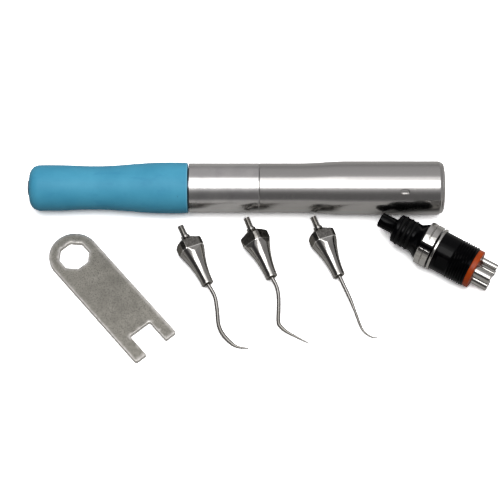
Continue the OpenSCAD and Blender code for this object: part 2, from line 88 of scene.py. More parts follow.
handpiece = before_mount("tip_socket", TIP_SOCKET_AT)
coupler = before_mount("coupler_nose_fit", NOSE_FIT_AT)

# Stations that shapes and looks share, in mm from the start of the piece.
GRIP_RIM = 46.0
BARREL_START = 46.3
SEAM = 66.5
GROOVE_AT = 8.3
DULL_FROM = 24.0
DULL_TO = 33.0


# ---------- meshes ----------


def ease(a, b, t):
    """From a to b with a level start and end."""
    return a + (b - a) * (1 - math.cos(math.pi * t)) / 2


def smooth_step(low, high, value):
    t = min(max((value - low) / (high - low), 0.0), 1.0)
    return t * t * (3 - 2 * t)


def smooth_min(a, b, blend):
    """The lesser of two radii, with the crease between them rounded."""
    h = max(blend - abs(a - b), 0.0) / blend
    return min(a, b) - h * h * blend / 4


def rows(radius, start, end, count):
    """Profile points at even stations; radius is a number or a function of the share of the way."""
    shares = [i / count for i in range(count + 1)]
    return [(radius(t) if callable(radius) else radius, start + (end - start) * t) for t in shares]


def softened(points, steps=4):
    """Profile with each (radius, station, fillet) corner rounded, and the other points kept."""
    out = []
    for i, point in enumerate(points):
        here = Vector(point[:2])
        if len(point) == 2:
            out.append(tuple(here))
            continue
        back = Vector(points[i - 1][:2]) - here
        ahead = Vector(points[(i + 1) % len(points)][:2]) - here
        half = back.angle(ahead) / 2
        reach = min(point[2] / math.tan(half), 0.48 * back.length, 0.48 * ahead.length)
        for k in range(steps + 1):
            u = k / steps
            bend = here + back.normalized() * reach * (1 - u) ** 2 + ahead.normalized() * reach * u ** 2
            out.append(tuple(bend))
    return out


def even(count):
    """Angles of a ring, the same at every station."""
    ring = [math.tau * k / count for k in range(count)]
    return lambda radius, station: ring


def skin(rings, closed=False):
    """Surface through rings of points; a ring of one point closes the surface there."""
    points, starts = [], []
    for ring in rings:
        starts.append(len(points))
        points.extend(ring)
    count = max(len(ring) for ring in rings)
    pairs = [(i, i + 1) for i in range(len(rings) - 1)]
    if closed:
        pairs.append((len(rings) - 1, 0))
    faces = []
    for low, high in pairs:
        a, b = starts[low], starts[high]
        for k in range(count):
            n = (k + 1) % count
            if len(rings[low]) == 1:
                faces.append((a, b + n, b + k))
            elif len(rings[high]) == 1:
                faces.append((a + k, a + n, b))
            else:
                faces.append((a + k, a + n, b + n, b + k))
    return points, faces


def turned_rings(profile, shape=None, angles=even(96)):
    """Rings of a piece turned about +Z; shape changes the radius at an angle and a station."""
    rings = []
    for radius, station in profile:
        if radius < POLE:
            rings.append([(0.0, 0.0, station)])
            continue
        ring = []
        for a in angles(radius, station):
            r = shape(a, radius, station) if shape else radius
            ring.append((r * math.cos(a), r * math.sin(a), station))
        rings.append(ring)
    return rings


def turned(profile, shape=None, angles=even(96)):
    """Closed surface turned about +Z from profile points that start at its front."""
    return skin(turned_rings(profile, shape, angles), closed=profile[0][0] > POLE)


# ---------- flat plates with holes ----------


def inside(point, loop):
    """True if a 2D point lies within a closed loop of points."""
    hit = False
    for i, a in enumerate(loop):
        b = loop[i - 1]
        if (a.y > point.y) != (b.y > point.y):
            if point.x < (b.x - a.x) * (point.y - a.y) / (b.y - a.y) + a.x:
                hit = not hit
    return hit


def inset(loop, depth):
    """Loop moved to its left by a depth, with mitred corners."""
    out = []
    for i, here in enumerate(loop):
        before = (here - loop[i - 1]).normalized()
        after = (loop[(i + 1) % len(loop)] - here).normalized()
        normal = (Vector((-before.y, before.x)) + Vector((-after.y, after.x))).normalized()
        out.append(here + normal * depth / max(normal.dot(Vector((-after.y, after.x))), 0.5))
    return out


def plate(outline, holes, thickness, fillet, grid):
    """Plate from z 0 to its thickness: the outline runs anticlockwise and the holes clockwise.

    Returns its surface, and for each point how near it lies to an edge, from 0 to 1.
    """
    loops = [outline, *holes]
    face_loops = [inset(loop, fillet) for loop in loops]
    flat = [p for loop in face_loops for p in loop]
    edges, start = [], 0
    for loop in face_loops:
        edges += [(start + k, start + (k + 1) % len(loop)) for k in range(len(loop))]
        start += len(loop)
    border = len(flat)
    low = Vector((min(p.x for p in outline), min(p.y for p in outline)))
    high = Vector((max(p.x for p in outline), max(p.y for p in outline)))
    across, along = (int((high[i] - low[i]) / grid) for i in (0, 1))
    for i in range(1, across):
        for j in range(1, along):
            spot = low + Vector(((i + 0.5 * (j % 2)) * grid, j * grid))
            clear = min((spot - p).length for p in flat[:border])
            if clear > 0.6 * grid and on_plate(spot, face_loops):
                flat.append(spot)
    spots, _, cells, _, _, _ = delaunay_2d_cdt(flat, edges, [], 0, 1e-7)
    cells = [c for c in cells if on_plate(sum((spots[i] for i in c), Vector((0, 0))) / 3, face_loops)]
    points = [(p.x, p.y, thickness) for p in spots] + [(p.x, p.y, 0.0) for p in spots]
    nearest = [min((p - q).length for q in spots[:border]) for p in spots]
    wear = [math.exp(-distance / WEAR_REACH) for distance in nearest] * 2
    faces = [tuple(c) for c in cells] + [tuple(i + len(spots) for i in reversed(c)) for c in cells]
    steps, start = 4, 0
    for loop in loops:
        count = len(loop)
        levels = [list(range(start, start + count))]
        turns = [math.pi / 2 * k / steps for k in range(1, steps + 1)]
        sides = [(fillet * (1 - math.sin(a)), thickness - fillet * (1 - math.cos(a))) for a in turns]
        sides += [(depth, thickness - z) for depth, z in reversed(sides)]
        for depth, z in sides:
            levels.append(list(range(len(points), len(points) + count)))
            points += [(p.x, p.y, z) for p in inset(loop, depth)]
            wear += [1.0] * count
        levels.append([i + len(spots) for i in range(start, start + count)])
        for upper, lower in zip(levels, levels[1:]):
            for k in range(count):
                n = (k + 1) % count
                faces.append((upper[k], lower[k], lower[n], upper[n]))
        start += count
    return (points, faces), wear


def on_plate(point, loops):
    return inside(point, loops[0]) and not any(inside(point, hole) for hole in loops[1:])


def circle(x, y, radius, count, clockwise=False):
    turn = -1 if clockwise else 1
    angles = [turn * math.tau * k / count for k in range(count)]
    return [Vector((x + radius * math.cos(a), y + radius * math.sin(a))) for a in angles]


def arc(x, y, radius, start, end, steps):
    angles = [math.radians(start + (end - start) * k / steps) for k in range(steps + 1)]
    return [Vector((x + radius * math.cos(a), y + radius * math.sin(a))) for a in angles]


# ---------- materials ----------


class Look:
    """A material in the making: its nodes, and the piece's own coordinates in metres.

    A piece that is drawn here keeps them in its "place"; a CAD node has only its object's.
    """

    def __init__(self, name, drawn=True, **values):
        self.material = bpy.data.materials.new(name)
        self.material.use_nodes = True
        self.tree = self.material.node_tree
        self.shader = self.tree.nodes["Principled BSDF"]
        for socket, value in values.items():
            self.shader.inputs[socket.replace("_", " ")].default_value = value
        if drawn:
            self.place = self.add("Attribute", attribute_name="place").outputs["Vector"]
        else:
            self.place = self.add("TexCoord").outputs["Object"]

    def add(self, kind, inputs=None, **settings):
        made = self.tree.nodes.new("ShaderNode" + kind)
        for name, value in settings.items():
            setattr(made, name, value)
        for socket, value in (inputs or {}).items():
            if isinstance(value, bpy.types.NodeSocket):
                self.tree.links.new(value, made.inputs[socket])
            else:
                made.inputs[socket].default_value = value
        return made

    def noise(self, size, detail=3.0, stretch=(1, 1, 1), roughness=0.5):
        """Noise whose features are about size mm across, longer where stretch is over 1."""
        scale = [1 / (size * MM * s) for s in stretch]
        spot = self.add("Mapping", {"Vector": self.place, "Scale": scale})
        texture = self.add(
            "TexNoise",
            {"Vector": spot.outputs["Vector"], "Scale": 1.0, "Detail": detail, "Roughness": roughness},
        )
        return texture.outputs["Fac"]

    def between(self, value, low, high, from_low=0.3, from_high=0.7):
        """A number that goes from low to high as value crosses its range."""
        made = self.add(
            "MapRange",
            {"Value": value, "From Min": from_low, "From Max": from_high, "To Min": low, "To Max": high},
        )
        return made.outputs["Result"]

    def mix(self, share, first, second):
        """Colour between two, which are tuples or sockets."""
        made = self.add("Mix", data_type="RGBA")
        for socket, value in (("Factor", share), ("A", first), ("B", second)):
            target = [s for s in made.inputs if s.name == socket and s.enabled][0]
            if isinstance(value, bpy.types.NodeSocket):
                self.tree.links.new(value, target)
            else:
                target.default_value = (*value, 1.0)
        return [s for s in made.outputs if s.enabled][0]

    def times(self, first, second):
        return self.add("Math", {0: first, 1: second}, operation="MULTIPLY").outputs[0]

    def along(self):
        """Distance along the piece's axis, in metres."""
        return self.add("SeparateXYZ", {0: self.place}).outputs["Z"]

    def use(self, socket, value):
        self.tree.links.new(value, self.shader.inputs[socket])

    def bump(self, *heights):
        """Bumps, each a height value and its depth in mm."""
        normal = None
        for height, depth in heights:
            inputs = {"Height": height, "Distance": depth * MM, "Strength": 1.0}
            if normal:
                inputs["Normal"] = normal
            normal = self.add("Bump", inputs).outputs["Normal"]
        self.use("Normal", normal)


def steel(name, dark, light, rough, lines, blotch=4.0, drawn=True):
    """Metal with soft blotches, uneven polish and fine lines turned round its axis."""
    look = Look(name, drawn, Metallic=1.0)
    cloud = look.noise(blotch)
    grain = look.noise(0.18, 2.0, (14, 14, 1))
    look.use("Base Color", look.mix(look.between(cloud, 0.0, 1.0), dark, light))
    look.use("Roughness", look.between(grain, *rough))
    look.bump((grain, lines), (look.noise(2.5, 2.0), lines * 1.5))
    return look


def barrel_look():
    """Satin steel, a little darker behind the seam, with a near-black painted shadow where the grip butts
    against it.
    """
    look = steel("barrel_steel", (0.47, 0.46, 0.455), (0.54, 0.53, 0.52), (0.17, 0.24), 0.0012)
    bright = look.shader.inputs["Base Color"].links[0].from_socket
    behind = look.between(look.along(), 0.0, 1.0, (SEAM - 0.05) * MM, (SEAM + 0.05) * MM)
    shade = look.mix(behind, bright, (0.41, 0.40, 0.39))
    # Painted shadow: from under the grip's rim to just past the barrel's front face, the steel is painted
    # near black as shade in the joint.
    joint_shadow_start = look.between(look.along(), 0.0, 0.94, (GRIP_RIM - 0.1) * MM, GRIP_RIM * MM)
    joint_shadow_end = look.between(look.along(), 1.0, 0.0, (BARREL_START + 0.15) * MM, (BARREL_START + 0.25) * MM)
    look.use("Base Color", look.mix(look.times(joint_shadow_start, joint_shadow_end), shade, (0.03, 0.05, 0.07)))
    return look.material


def inner_look():
    """Satin steel of the inner pieces."""
    look = steel("inner_steel", (0.42, 0.42, 0.43), (0.50, 0.50, 0.50), (0.24, 0.36), 0.002, drawn=False)
    return look.material


def shaft_look():
    """Dark hardened steel."""
    look = steel("shaft_steel", (0.10, 0.10, 0.11), (0.16, 0.16, 0.17), (0.26, 0.40), 0.002, drawn=False)
    return look.material


def chrome_look():
    """Glossy plating of the coupler's rings."""
    look = steel("bright_chrome", (0.42, 0.41, 0.39), (0.50, 0.49, 0.47), (0.07, 0.13), 0.0006)
    return look.material


def tube_look():
    """Drawn tube, a little less glossy than the rings."""
    look = steel("tube_chrome", (0.38, 0.37, 0.35), (0.46, 0.45, 0.43), (0.09, 0.16), 0.0008)
    return look.material


def brass_look():
    """Turned brass."""
    look = steel("rotor_brass", (0.60, 0.44, 0.20), (0.72, 0.55, 0.28), (0.22, 0.34), 0.002, drawn=False)
    return look.material


def bronze_look():
    """Sintered bronze: small grains with dark pores."""
    look = Look("muffler_bronze", drawn=False, Metallic=1.0, Roughness=0.5)
    cells = look.add("TexVoronoi", {"Vector": look.place, "Scale": 1 / (0.35 * MM)}).outputs["Distance"]
    pore = look.between(cells, 0.0, 1.0)
    look.use("Base Color", look.mix(pore, (0.42, 0.33, 0.18), (0.16, 0.12, 0.07)))
    look.bump((cells, -0.08))
    return look.material


def tip_look():
    """Polished body, flats cut on the head that are painted dark before the groove as painted shade, with a
    painted highlight just past it, and a hook that is ground to a dull grey towards its end.
    """
    look = steel("tip_steel", (0.33, 0.32, 0.305), (0.40, 0.39, 0.37), (0.11, 0.17), 0.0008, 3.0)
    look.shader.inputs["Specular Tint"].default_value = (0.5, 0.49, 0.47, 1)
    ground = look.between(look.along(), 0.0, 1.0, DULL_FROM * MM, DULL_TO * MM)
    grain = look.noise(0.15, 3.0)
    polish = look.shader.inputs["Roughness"].links[0].from_socket
    rough = look.add("Mix", {0: ground, 2: polish, 3: look.between(grain, 0.30, 0.44)})
    look.use("Roughness", rough.outputs[0])
    bright = look.shader.inputs["Base Color"].links[0].from_socket
    flat = look.add("Attribute", attribute_name="flat").outputs["Fac"]
    # Painted shade: the flats are painted dark from the head's rim to just before the groove.
    painted_flat_shade = look.mix(look.between(look.noise(0.5), 0.0, 1.0), (0.10, 0.097, 0.088), (0.26, 0.25, 0.235))
    flat_shade_before_groove = look.between(look.along(), 1.0, 0.0, (GROOVE_AT - 0.2) * MM, (GROOVE_AT - 0.1) * MM)
    shade = look.mix(look.times(flat, flat_shade_before_groove), bright, painted_flat_shade)
    # Painted highlight: a near-white line on the flats just past the groove.
    groove_highlight_from = look.between(look.along(), 0.0, 1.0, (GROOVE_AT - 0.05) * MM, (GROOVE_AT + 0.05) * MM)
    groove_highlight_to = look.between(look.along(), 1.0, 0.0, (GROOVE_AT + 0.2) * MM, (GROOVE_AT + 0.3) * MM)
    edge = look.times(look.times(flat, groove_highlight_from), groove_highlight_to)
    shade = look.mix(edge, shade, (0.92, 0.91, 0.88))
    look.use("Base Color", look.mix(ground, shade, (0.25, 0.24, 0.22)))
    return look.material


def wrench_look():
    """Tumbled plate: dull and mottled, with brighter worn edges."""
    look = Look("wrench_steel", Metallic=1.0)
    worn = look.add("Attribute", attribute_name="wear").outputs["Fac"]
    patchy = look.times(worn, look.between(look.noise(1.2), 0.5, 1.1))
    grain = look.noise(0.35, 4.0, roughness=0.65)
    patch = look.between(look.noise(3.0), 0.0, 1.0)
    face = look.mix(patch, (0.205, 0.197, 0.172), (0.285, 0.273, 0.240))
    pits = look.mix(look.between(grain, 0.0, 1.0, 0.38, 0.5), (0.150, 0.143, 0.128), face)
    look.use("Base Color", look.mix(patchy, pits, (0.62, 0.60, 0.57)))
    look.use("Roughness", look.between(patchy, 0.46, 0.28, 0.0, 1.0))
    look.bump((grain, 0.012), (look.noise(1.5, 2.0), 0.02))
    return look.material


def black_look():
    """Glossy black anodised aluminium with faint turning lines and handling marks."""
    look = Look("black_anodised", Specular_IOR_Level=0.07)
    grain = look.noise(0.16, 2.0, (12, 12, 1))
    smear = look.noise(1.6, 3.0)
    shade = look.between(smear, 0.0, 1.0)
    look.use("Base Color", look.mix(shade, (0.0004, 0.0004, 0.0006), (0.0016, 0.0016, 0.002)))
    look.use("Roughness", look.between(smear, 0.09, 0.2))
    look.bump((grain, 0.0012), (look.noise(0.9, 2.0), 0.0035))
    return look.material


def rubber_look():
    """Matte black rubber."""
    look = Look("black_rubber", drawn=False, Specular_IOR_Level=0.12)
    fine = look.noise(0.25, 3.0)
    shade = look.between(fine, 0.0, 1.0)
    look.use("Base Color", look.mix(shade, (0.0015, 0.0015, 0.0015), (0.004, 0.004, 0.004)))
    look.use("Roughness", look.between(fine, 0.45, 0.62))
    look.bump((fine, 0.006))
    return look.material


def gasket_look():
    """Moulded orange rubber, a little glossy, darker where it is rubbed."""
    look = Look("orange_gasket", Specular_IOR_Level=0.2)
    patch = look.noise(1.8, 3.0)
    shade = look.between(patch, 0.0, 1.0)
    look.use("Base Color", look.mix(shade, (0.30, 0.034, 0.002), (0.43, 0.058, 0.003)))
    look.use("Roughness", look.between(patch, 0.28, 0.42))
    look.bump((look.noise(0.3, 3.0), 0.004), (patch, 0.02))
    return look.material


def silicone_look():
    """Matte blue silicone: soft blotches, a fine skin, a few dark specks, and a painted highlight at its
    rim.
    """
    look = Look("grip_silicone", Specular_IOR_Level=0.2)
    blotch = look.noise(9.0, 3.0)
    blue = look.mix(look.between(blotch, 0.0, 1.0), (0.056, 0.318, 0.49), (0.078, 0.380, 0.56))
    smear = look.noise(2.2, 3.0, (1, 1, 2.4))
    blue = look.mix(look.between(smear, 0.0, 0.45, 0.55, 0.75), blue, (0.040, 0.255, 0.44))
    cells = look.add(
        "TexVoronoi",
        {"Vector": look.place, "Scale": 1 / (6.5 * MM), "Randomness": 1.0},
    )
    fleck = look.between(cells.outputs["Distance"], 0.85, 0.0, 0.035, 0.06)
    blue = look.mix(fleck, blue, (0.012, 0.065, 0.17))
    # Painted highlight: the grip's last 0.3 mm before its rim is painted a paler blue.
    rim = look.between(look.along(), 0.0, 0.5, (GRIP_RIM - 0.4) * MM, (GRIP_RIM - 0.3) * MM)
    blue = look.mix(rim, blue, (0.20, 0.52, 0.70))
    look.use("Base Color", blue)
    fine = look.noise(0.22, 3.0)
    look.use("Roughness", look.between(fine, 0.46, 0.60))
    look.bump((fine, 0.006), (look.noise(3.5, 2.0), 0.03))
    return look.material


looks = {
    "barrel_steel": barrel_look(),
    "inner_steel": inner_look(),
    "shaft_steel": shaft_look(),
    "muffler_bronze": bronze_look(),
    "rotor_brass": brass_look(),
    "black_rubber": rubber_look(),
    "grip_silicone": silicone_look(),
    "tip_steel": tip_look(),
    "wrench_steel": wrench_look(),
    "black_anodised": black_look(),
    "bright_chrome": chrome_look(),
    "tube_chrome": tube_look(),
    "orange_gasket": gasket_look(),
}


def show(name, surface, place, body, slot, *nodes):
    """A mesh that rides on a body and stands for CAD nodes; "place" keeps its own coordinates."""
    points, faces = surface
    own = [Vector(p) * MM for p in points]
    mesh = bpy.data.meshes.new(name)
    mesh.from_pydata([place @ p for p in own], [], faces)
    kept = mesh.attributes.new("place", "FLOAT_VECTOR", "POINT")
    kept.data.foreach_set("vector", [value for p in own for value in p])
    mesh.polygons.foreach_set("use_smooth", [True] * len(faces))
    mesh.set_sharp_from_angle(angle=math.radians(35))
    mesh.materials.append(looks[slot])
    made = bpy.data.objects.new(name, mesh)
    bpy.context.collection.objects.link(made)
    made.modifiers.new("even_normals", "WEIGHTED_NORMAL").keep_sharp = True
    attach(made, body)
    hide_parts(*nodes)
    return made


# ---------- handpiece ----------

GRIP_START = 0.5
REAR_END = 119.5
FRONT_R = 7.1
REAR_R = 7.7
SLEEVE_R = 5.2
BORE_R = 4.2
GRIP_NOSE_R = 6.65
GRIP_WAIST_R = 6.3
GRIP_BACK_R = 7.4
WAIST_AT = 18.5
SWELL_END = 40.5
STUB_R = 6.2
STUB_END = 75.0
REAR_BORE_R = 6.4
MOUTH_R = 6.0
MOUTH_DEPTH = 1.4
CROWN = 0.35


def grip_radius(station):
    """Outer radius of the grip between its rounded nose and its rim."""
    nose_end = 8.0
    if station <= nose_end:
        return GRIP_NOSE_R
    if station < WAIST_AT:
        return ease(GRIP_NOSE_R, GRIP_WAIST_R, (station - nose_end) / (WAIST_AT - nose_end))
    if station < SWELL_END:
        return ease(GRIP_WAIST_R, GRIP_BACK_R, (station - WAIST_AT) / (SWELL_END - WAIST_AT))
    return GRIP_BACK_R


def grip_wave(angle, radius, station):
    """The soft sleeve is nowhere quite round or straight."""
    if radius < 6.0:
        return radius
    spot = Vector((math.cos(angle), math.sin(angle), station / 6.0))
    return radius - 0.05 * smooth_step(6.0, 6.5, radius) * (1 + noise.noise(spot * 1.3))


def grip():
    corner = 3.0
    steps = 12
    nose = []
    for k in range(steps + 1):
        a = math.radians(-90 + 90 * k / steps)
        radius = GRIP_NOSE_R - corner + corner * math.cos(a)
        nose.append((radius, GRIP_START + corner + corner * math.sin(a)))
    front = [(SLEEVE_R + 0.1, 3.2, 0.2), (4.5, 1.2, 0.2), (3.1, 1.2, 0.1), (3.2, 0.72, 0.2)]
    body = [(grip_radius(s), s) for s in (3.6 + 0.7 * i for i in range(56))]
    rim = [
        (GRIP_BACK_R, 43.4),
        (GRIP_BACK_R - 0.04, 44.6),
        (GRIP_BACK_R - 0.1, 45.5),
        (GRIP_BACK_R - 0.18, GRIP_RIM, 0.25),
        (SLEEVE_R + 0.1, GRIP_RIM, 0.15),
    ]
    profile = softened([*front, *nose, *body, *rim])
    surface = turned(profile, grip_wave, even(128))
    show("grip_skin", surface, handpiece, "grip", "grip_silicone", "grip_sleeve")


def front_barrel():
    profile = softened([
        (BORE_R, 1.6, 0.1),
        (SLEEVE_R - 0.8, 1.6, 0.1),
        (SLEEVE_R, 3.6, 0.4),
        (SLEEVE_R, BARREL_START, 0.05),
        (FRONT_R, BARREL_START, 0.18),
        (FRONT_R, 52.0),
        (FRONT_R, 59.0),
        (FRONT_R, SEAM, 0.22),
        (STUB_R, SEAM),
        (STUB_R, STUB_END - 2, 0.05),
        (STUB_R - 1, STUB_END - 2, 0.05),
        (STUB_R - 1, STUB_END - 1, 0.05),
        (STUB_R, STUB_END - 1, 0.05),
        (STUB_R, STUB_END, 0.2),
        (BORE_R, STUB_END, 0.1),
    ])
    surface = turned(profile, None, even(160))
    show("front_barrel", surface, handpiece, "handpiece", "barrel_steel", "front_housing")


SLOT_AT = 108.0
SLOT_TURN = math.radians(218)
SLOT_HALF = 1.3
SLOT_R = 0.65
SLOT_DEPTH = 0.7


def slot_dip(angle, radius, station):
    """The blind slot for the release pin, pressed into the outside of the rear barrel."""
    if radius < REAR_R - 0.5:
        return radius
    side = abs(angle - SLOT_TURN) * REAR_R
    reach = max(abs(station - SLOT_AT) - (SLOT_HALF - SLOT_R), 0.0)
    return radius - SLOT_DEPTH * (1 - smooth_step(SLOT_R - 0.13, SLOT_R + 0.02, math.hypot(side, reach)))


def slot_angles(radius, station):
    """Even angles, with close ones across the slot."""
    half = math.radians(8)
    coarse, fine = 140, 36
    around = [SLOT_TURN + half + (math.tau - 2 * half) * k / coarse for k in range(coarse)]
    across = [SLOT_TURN - half + 2 * half * k / fine for k in range(fine)]
    return [a - math.tau for a in around] + across


def rear_barrel():
    swell = rows(lambda t: ease(FRONT_R, REAR_R, t), SEAM + 11.5, SEAM + 25.5, 20)
    slot_rows = rows(REAR_R, SLOT_AT - 2.0, SLOT_AT + 2.0, 40)
    crown = rows(lambda t: ease(REAR_R, REAR_R - CROWN, t), REAR_END - 1.5, REAR_END - 0.5, 8)
    profile = softened([
        (STUB_R, SEAM),
        (FRONT_R, SEAM, 0.22),
        *swell,
        (REAR_R, 100.0),
        *slot_rows,
        (REAR_R, 114.0),
        *crown,
        (REAR_R - CROWN - 0.5, REAR_END, 0.3),
        (MOUTH_R, REAR_END, 0.12),
        (MOUTH_R, REAR_END - MOUTH_DEPTH),
        (REAR_BORE_R, REAR_END - MOUTH_DEPTH),
        (REAR_BORE_R, STUB_END + 1),
        (STUB_R, STUB_END + 1),
    ])
    surface = turned(profile, slot_dip, slot_angles)
    show("rear_barrel", surface, handpiece, "handpiece", "barrel_steel", "rear_housing")


# ---------- scaler tips ----------

STUD_LEN = 4.25
TIP_END = 19.55
RIM_START = 5.6
RIM_AT = 6.0
BAND_END = 8.0
SHOULDER_R = 4.1
NECK_R = 1.75
TAPER_HOLLOW = 2.1
FLAT_GAP = 3.4
GROOVE_DEPTH = 0.14
THREAD_PITCH = 0.5
THREAD_R = 0.96
THREAD_END = 3.4
COLLAR_R = 1.3
RIM_R = 3.4
RECESS_R = 0.88
LAND_STEPS = 6
FLAT_STEPS = 7
HOOK_ROOT = -0.4  # the hook's rings start this far inside the body's recess
SHANK_R = 0.56
HOOK_END_R = 0.12
HOOK_THINNING = 1.8
SHANK_THINNING = 6
SPAN_STEPS = 10


def tip_angles(turn):
    """Angles whose closest lines follow the edges of the four flats."""

    def angles(radius, station):
        cut = math.acos(min(FLAT_GAP / max(radius, FLAT_GAP), 1.0))
        cut = min(max(cut, math.radians(7)), math.radians(43))
        land = (math.radians(45) - cut) / LAND_STEPS
        quarter = [-math.radians(45) + land * k for k in range(LAND_STEPS)]
        quarter += [cut * math.sin(math.pi / 2 * (k / FLAT_STEPS - 1)) for k in range(2 * FLAT_STEPS)]
        quarter += [cut + land * k for k in range(LAND_STEPS)]
        return [turn + math.pi / 2 * side + a for side in range(4) for a in quarter]

    return angles


def tip_shape(turn):
    """Screw thread on the stud, and four grooved flats on the head."""

    def shape(angle, radius, station):
        if station < STUD_LEN - 0.8 and radius > 0.7:
            wave = 0.5 + 0.5 * math.cos(math.tau * (station / THREAD_PITCH) - angle)
            depth = 0.22 * smooth_step(0.15, 0.4, station) * (1 - wave ** 0.8)
            return radius - depth
        if radius < 2.4:
            return radius
        across = (angle - turn + math.pi / 4) % (math.pi / 2) - math.pi / 4
        groove = 1 - smooth_step(0.1, 0.2, abs(station - GROOVE_AT))
        cut = (FLAT_GAP - GROOVE_DEPTH * groove) / math.cos(across)
        return smooth_min(radius, cut, 0.06)

    return shape


def taper_radius(station):
    t = (station - BAND_END) / (TIP_END - BAND_END)
    return NECK_R + (SHOULDER_R - NECK_R) * (1 - t) ** TAPER_HOLLOW


def tip_profile():
    """Outside of a tip from the stud's end to the small end's recess."""
    rise = RIM_R - COLLAR_R
    shoulder = rows(lambda t: COLLAR_R + rise * t + 0.1 * math.sin(math.pi * t), STUD_LEN, RIM_START, 12)
    corner = SHOULDER_R - RIM_R
    rim = rows(lambda t: RIM_R + corner * math.sin(math.pi / 2 * t), RIM_START, RIM_AT, 10)
    band = rows(SHOULDER_R, RIM_AT + 0.2, BAND_END - 0.05, 6)
    # The rings lie closest across the groove, and further apart along the slim part.
    taper = [BAND_END + 0.05 + 0.035 * k for k in range(20)]
    taper += [8.75 + 0.06 * k for k in range(22)]
    taper += [10.1 + 0.2 * k for k in range(47)]
    return [
        (0.0, 0.0),
        (0.6, 0.0),
        (0.74, 0.06),
        *rows(THREAD_R, 0.16, THREAD_END, 58),
        (0.78, THREAD_END + 0.06),
        (COLLAR_R - 0.1, THREAD_END + 0.1),
        (COLLAR_R, THREAD_END + 0.2),
        (COLLAR_R, THREAD_END + 0.5),
        *shoulder,
        *rim[1:],
        *band,
        *[(taper_radius(station), station) for station in taper],
        (NECK_R - 0.04, TIP_END - 0.04),
        (NECK_R - 0.12, TIP_END),
        (1.0, TIP_END),
        (0.9, TIP_END - 0.06),
        (RECESS_R, TIP_END + HOOK_ROOT),
    ]


def catmull_rom(p0, p1, p2, p3, t):
    bend = 2 * p0 - 5 * p1 + 4 * p2 - p3
    return 0.5 * (2 * p1 + (p2 - p0) * t + bend * t * t + (3 * p1 - p0 - 3 * p2 + p3) * t ** 3)


def hook_rings(points, thick, slim_r, angles):
    """Rings swept along a hook, which bends in the piece's own YZ plane.

    It slims from the shank's radius to slim_r over its share thick, and then towards its end.
    """
    line = []
    last = len(points) - 1
    for i in range(last):
        corners = [Vector(points[min(max(i + k, 0), last)]) for k in (-1, 0, 1, 2)]
        line += [catmull_rom(*corners, k / SPAN_STEPS) for k in range(SPAN_STEPS)]
    line.append(Vector(points[-1]))
    rings = []
    for i, here in enumerate(line):
        if here[0] < HOOK_ROOT:
            continue
        run = (line[min(i + 1, len(line) - 1)] - line[max(i - 1, 0)]).normalized()
        t = i / (len(line) - 1)
        if t < thick:
            r = SHANK_R + (slim_r - SHANK_R) * (t / thick) ** SHANK_THINNING
        else:
            r = slim_r + (HOOK_END_R - slim_r) * ((t - thick) / (1 - thick)) ** HOOK_THINNING
        ring = []
        for a in angles(1, 0):
            aside = r * math.sin(a)
            ring.append((r * math.cos(a), here[1] + aside * run[0], TIP_END + here[0] - aside * run[1]))
        rings.append(ring)
    end = line[-1]
    rings.append([(0.0, end[1] + 0.05 * run[1], TIP_END + end[0] + 0.05 * run[0])])
    return rings


def on_flat(point, turn):
    """1 on the four flats of a tip's head, else 0, for a point in mm."""
    x, y, station = point
    across = (math.atan2(y, x) - turn + math.pi / 4) % (math.pi / 2) - math.pi / 4
    reach = math.hypot(x, y) * math.cos(across)
    return 1.0 if RIM_START < station < TIP_END and 2.4 < reach < FLAT_GAP + 0.02 else 0.0


def tip(name, number, turn_degrees, points, thick, slim_r):
    turn = math.radians(turn_degrees)
    angles = tip_angles(turn)
    rings = turned_rings(tip_profile(), tip_shape(turn), angles)
    rings += hook_rings(points, thick, slim_r, angles)
    place = before_mount(f"tip_{number}_stud", TIP_STUD_AT)
    surface = skin(rings)
    made = show(name, surface, place, f"tip_{number}", "tip_steel", f"tip_{number}")
    flat = [on_flat(point, turn) for point in surface[0]]
    made.data.attributes.new("flat", "FLOAT", "POINT").data.foreach_set("value", flat)


# ---------- tip wrench ----------

WRENCH_R = 7.2
WRENCH_REACH = 37.6
WRENCH_T = 1.5
FORK_DEPTH = 7.4
FORK_HALF = 3.5
OCTAGON_W = 8.3


def wrench():
    fork_floor = WRENCH_REACH - FORK_DEPTH
    fork_lead = WRENCH_REACH - 3.5
    tine, inner, lip = 0.7, 0.5, 0.3
    side = [Vector((x, -WRENCH_R)) for x in range(2, 36, 2)]
    outline = [
        *arc(0, 0, WRENCH_R, 90, 270, 48),
        *side,
        *arc(WRENCH_REACH - tine, -WRENCH_R + tine, tine, -90, 0, 6),
        *arc(WRENCH_REACH - lip, -FORK_HALF - lip, lip, 0, 90, 4),
        Vector((fork_lead, -FORK_HALF)),
        *arc(fork_floor + inner, -FORK_HALF + inner, inner, 270, 180, 5),
        Vector((fork_floor, 0)),
        *arc(fork_floor + inner, FORK_HALF - inner, inner, 180, 90, 5),
        Vector((fork_lead, FORK_HALF)),
        *arc(WRENCH_REACH - lip, FORK_HALF + lip, lip, -90, 0, 4),
        *arc(WRENCH_REACH - tine, WRENCH_R - tine, tine, 0, 90, 6),
        *[Vector((p.x, -p.y)) for p in reversed(side)],
    ]
    reach = OCTAGON_W / 2 / math.cos(math.radians(22.5))
    corners = [math.radians(22.5 - 45 * k) for k in range(9)]
    octagon = []
    for a, b in zip(corners, corners[1:]):
        start = Vector((math.cos(a), math.sin(a))) * reach
        end = Vector((math.cos(b), math.sin(b))) * reach
        octagon += [start.lerp(end, share) for share in (0.04, 0.12, 0.35, 0.65, 0.88, 0.96)]
    surface, wear = plate(outline, [octagon], WRENCH_T, 0.12, 0.7)
    made = show("tip_wrench", surface, wrench_place(), "wrench", "wrench_steel", "wrench")
    made.data.attributes.new("wear", "FLOAT", "POINT").data.foreach_set("value", wear)


# ---------- swivel coupler ----------

